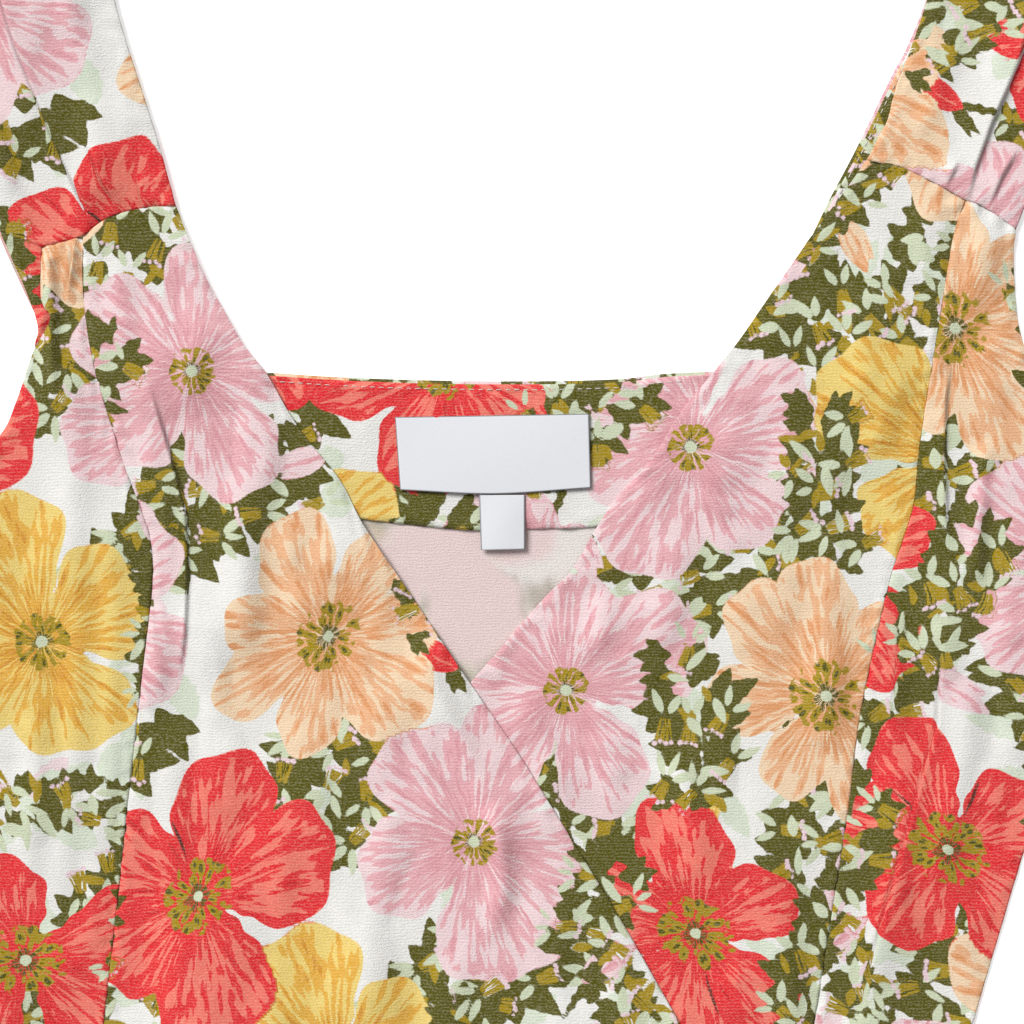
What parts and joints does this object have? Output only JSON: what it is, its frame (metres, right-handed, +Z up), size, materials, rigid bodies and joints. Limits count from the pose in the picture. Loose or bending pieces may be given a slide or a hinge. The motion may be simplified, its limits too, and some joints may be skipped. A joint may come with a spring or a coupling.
{
  "type": "wrap dress",
  "caption": "Sleeveless floral crepe wrap dress with pleated shoulder straps and a flared wrap skirt, laid flat on its back.",
  "frame": {"origin": "on the surface that the dress lies on, under the middle of its bounding box", "axes": "+Y from the hem to the shoulders, +X to the left side of whoever wears it, +Z up out of the front of the dress"},
  "size_m": [0.7396, 1.1675, 0.0126],
  "materials": {
    "floral_crepe": "matte printed crepe, finely ribbed across, with large flowers in coral, pink, peach and yellow and olive and mint leaves on off-white",
    "label_satin": "smooth white woven satin ribbon"
  },
  "bodies": {
    "root": {"back_bodice": "floral_crepe", "strap_back_left": "floral_crepe", "strap_back_right": "floral_crepe", "skirt_back": "floral_crepe", "neck_facing": "floral_crepe", "strap_facing_left": "floral_crepe", "strap_facing_right": "floral_crepe", "main_label": "label_satin", "size_tag": "label_satin", "front_centre_under": "floral_crepe", "front_side_under": "floral_crepe", "strap_front_right": "floral_crepe", "front_centre_over": "floral_crepe", "front_side_over": "floral_crepe", "strap_front_left": "floral_crepe", "skirt_under": "floral_crepe", "skirt_over": "floral_crepe", "tie_front": "floral_crepe", "tie_side": "floral_crepe", "tie_end_inner": "floral_crepe", "tie_end_outer": "floral_crepe", "tie_knot": "floral_crepe"}
  },
  "joints": []
}
